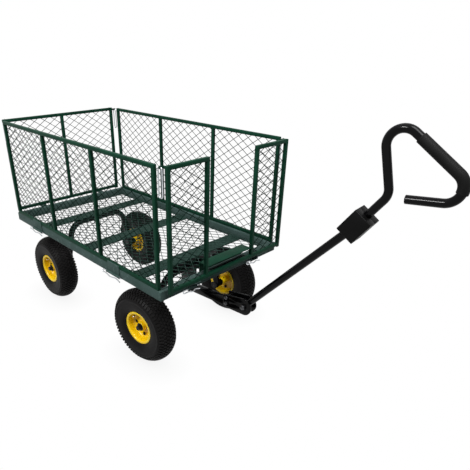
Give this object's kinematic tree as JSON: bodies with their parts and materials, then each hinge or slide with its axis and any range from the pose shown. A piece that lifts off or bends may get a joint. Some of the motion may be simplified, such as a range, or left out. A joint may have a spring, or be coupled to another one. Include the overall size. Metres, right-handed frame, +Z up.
{
  "type": "garden cart",
  "caption": "Steel mesh garden cart with fold-down panels, a steered front axle on air tyres and a bent pull handle on a tilting drawbar.",
  "frame": {"origin": "on the ground under the middle of the whole cart's box, handle included", "axes": "+X forward to the handle, +Y to the cart's left, +Z up"},
  "size_m": [1.6386, 0.5778, 0.851],
  "materials": {
    "panel_green": "satin powder coat",
    "deck_green": "satin powder coat",
    "mesh_wire": "powder-coated wire",
    "black_steel": "gloss powder coat",
    "dark_steel": "oiled steel",
    "zinc_steel": "zinc plated",
    "tyre_rubber": "moulded rubber",
    "rim_yellow": "gloss enamel",
    "grip_foam": "matt sleeve",
    "black_plastic": "moulded"
  },
  "bodies": {
    "chassis": {"deck_frame": "deck_green", "floor_bars": "deck_green", "floor_mesh": "mesh_wire", "hinge_pins": "zinc_steel", "rear_axle_frame": "black_steel", "rear_axle_stubs": "dark_steel", "rear_washers": "dark_steel", "rear_cotter_pins": "dark_steel", "front_bolster": "black_steel", "turntable_upper_plate": "black_steel", "kingpin": "zinc_steel", "kingpin_nut": "zinc_steel"},
    "front_axle": {"front_axle_frame": "black_steel", "front_axle_stubs": "dark_steel", "front_washers": "dark_steel", "front_cotter_pins": "dark_steel", "tongue": "black_steel", "clevis_plates": "black_steel", "tongue_bolts": "zinc_steel", "pivot_bolt": "zinc_steel", "pivot_nut": "zinc_steel"},
    "drawbar": {"drawbar_tube": "black_steel", "hitch_pin": "zinc_steel", "handle_tube": "black_steel", "handle_grip": "grip_foam", "handle_plug": "black_plastic"},
    "cover": {"hitch_cover": "black_plastic"},
    "left_panel": {"left_panel_frame": "panel_green", "left_panel_mesh": "mesh_wire"},
    "right_panel": {"right_panel_frame": "panel_green", "right_panel_mesh": "mesh_wire"},
    "front_panel": {"front_panel_frame": "panel_green", "front_panel_mesh": "mesh_wire"},
    "rear_panel": {"rear_panel_frame": "panel_green", "rear_panel_mesh": "mesh_wire"},
    "latch_front_left_body": {"latch_front_left": "zinc_steel"},
    "wheel_front_left": {"front_left_tyre": "tyre_rubber", "front_left_rim_outer": "rim_yellow", "front_left_rim_inner": "rim_yellow", "front_left_rim_bolts": "dark_steel", "front_left_valve": "zinc_steel"},
    "latch_front_right_body": {"latch_front_right": "zinc_steel"},
    "wheel_front_right": {"front_right_tyre": "tyre_rubber", "front_right_rim_outer": "rim_yellow", "front_right_rim_inner": "rim_yellow", "front_right_rim_bolts": "dark_steel", "front_right_valve": "zinc_steel"},
    "latch_rear_left_body": {"latch_rear_left": "zinc_steel"},
    "wheel_rear_left": {"rear_left_tyre": "tyre_rubber", "rear_left_rim_outer": "rim_yellow", "rear_left_rim_inner": "rim_yellow", "rear_left_rim_bolts": "dark_steel", "rear_left_valve": "zinc_steel"},
    "latch_rear_right_body": {"latch_rear_right": "zinc_steel"},
    "wheel_rear_right": {"rear_right_tyre": "tyre_rubber", "rear_right_rim_outer": "rim_yellow", "rear_right_rim_inner": "rim_yellow", "rear_right_rim_bolts": "dark_steel", "rear_right_valve": "zinc_steel"}
  },
  "joints": [
    {"name": "steer", "type": "hinge", "parent": "chassis", "child": "front_axle", "pos_m": [0.0012, 0, 0.3005], "axis": [0, 0, 1], "range_deg": [-44.84, 35.16]},
    {"name": "drawbar_tilt", "type": "hinge", "parent": "front_axle", "child": "drawbar", "pos_m": [0.26127, 0.02202, 0.214], "axis": [-0.0844, 0.9964, 0], "range_deg": [-26, 57]},
    {"name": "cover_slide", "type": "slide", "parent": "drawbar", "child": "cover", "axis": [0.5702, 0.0483, 0.8201], "range_m": [0, 0.045]},
    {"name": "left_panel_fold", "type": "hinge", "parent": "chassis", "child": "left_panel", "pos_m": [-0.3078, 0.2805, 0.3155], "axis": [-1, 0, 0], "range_deg": [0, 90]},
    {"name": "right_panel_fold", "type": "hinge", "parent": "chassis", "child": "right_panel", "pos_m": [-0.3078, -0.2805, 0.3155], "axis": [1, 0, 0], "range_deg": [0, 90]},
    {"name": "front_panel_fold", "type": "hinge", "parent": "chassis", "child": "front_panel", "pos_m": [0.1792, 0, 0.3155], "axis": [0, 1, 0], "range_deg": [0, 90]},
    {"name": "rear_panel_fold", "type": "hinge", "parent": "chassis", "child": "rear_panel", "pos_m": [-0.7948, 0, 0.3155], "axis": [0, -1, 0], "range_deg": [0, 90]},
    {"name": "latch_front_left_swing", "type": "hinge", "parent": "front_panel", "child": "latch_front_left_body", "pos_m": [0.1792, 0.2655, 0.7175], "axis": [1, 0, 0], "range_deg": [0, 90]},
    {"name": "latch_front_right_swing", "type": "hinge", "parent": "front_panel", "child": "latch_front_right_body", "pos_m": [0.1792, -0.2655, 0.7175], "axis": [-1, 0, 0], "range_deg": [0, 90]},
    {"name": "latch_rear_left_swing", "type": "hinge", "parent": "rear_panel", "child": "latch_rear_left_body", "pos_m": [-0.7948, 0.2655, 0.7175], "axis": [1, 0, 0], "range_deg": [0, 90]},
    {"name": "latch_rear_right_swing", "type": "hinge", "parent": "rear_panel", "child": "latch_rear_right_body", "pos_m": [-0.7948, -0.2655, 0.7175], "axis": [-1, 0, 0], "range_deg": [0, 90]},
    {"name": "wheel_front_left_spin", "type": "hinge", "parent": "front_axle", "child": "wheel_front_left", "pos_m": [-0.01812, 0.22818, 0.134], "axis": [-0.0844, 0.9964, 0], "continuous": true},
    {"name": "wheel_front_right_spin", "type": "hinge", "parent": "front_axle", "child": "wheel_front_right", "pos_m": [0.02052, -0.22818, 0.134], "axis": [-0.0844, 0.9964, 0], "continuous": true},
    {"name": "wheel_rear_left_spin", "type": "hinge", "parent": "chassis", "child": "wheel_rear_left", "pos_m": [-0.5978, 0.229, 0.134], "axis": [0, 1, 0], "continuous": true},
    {"name": "wheel_rear_right_spin", "type": "hinge", "parent": "chassis", "child": "wheel_rear_right", "pos_m": [-0.5978, -0.229, 0.134], "axis": [0, 1, 0], "continuous": true}
  ]
}
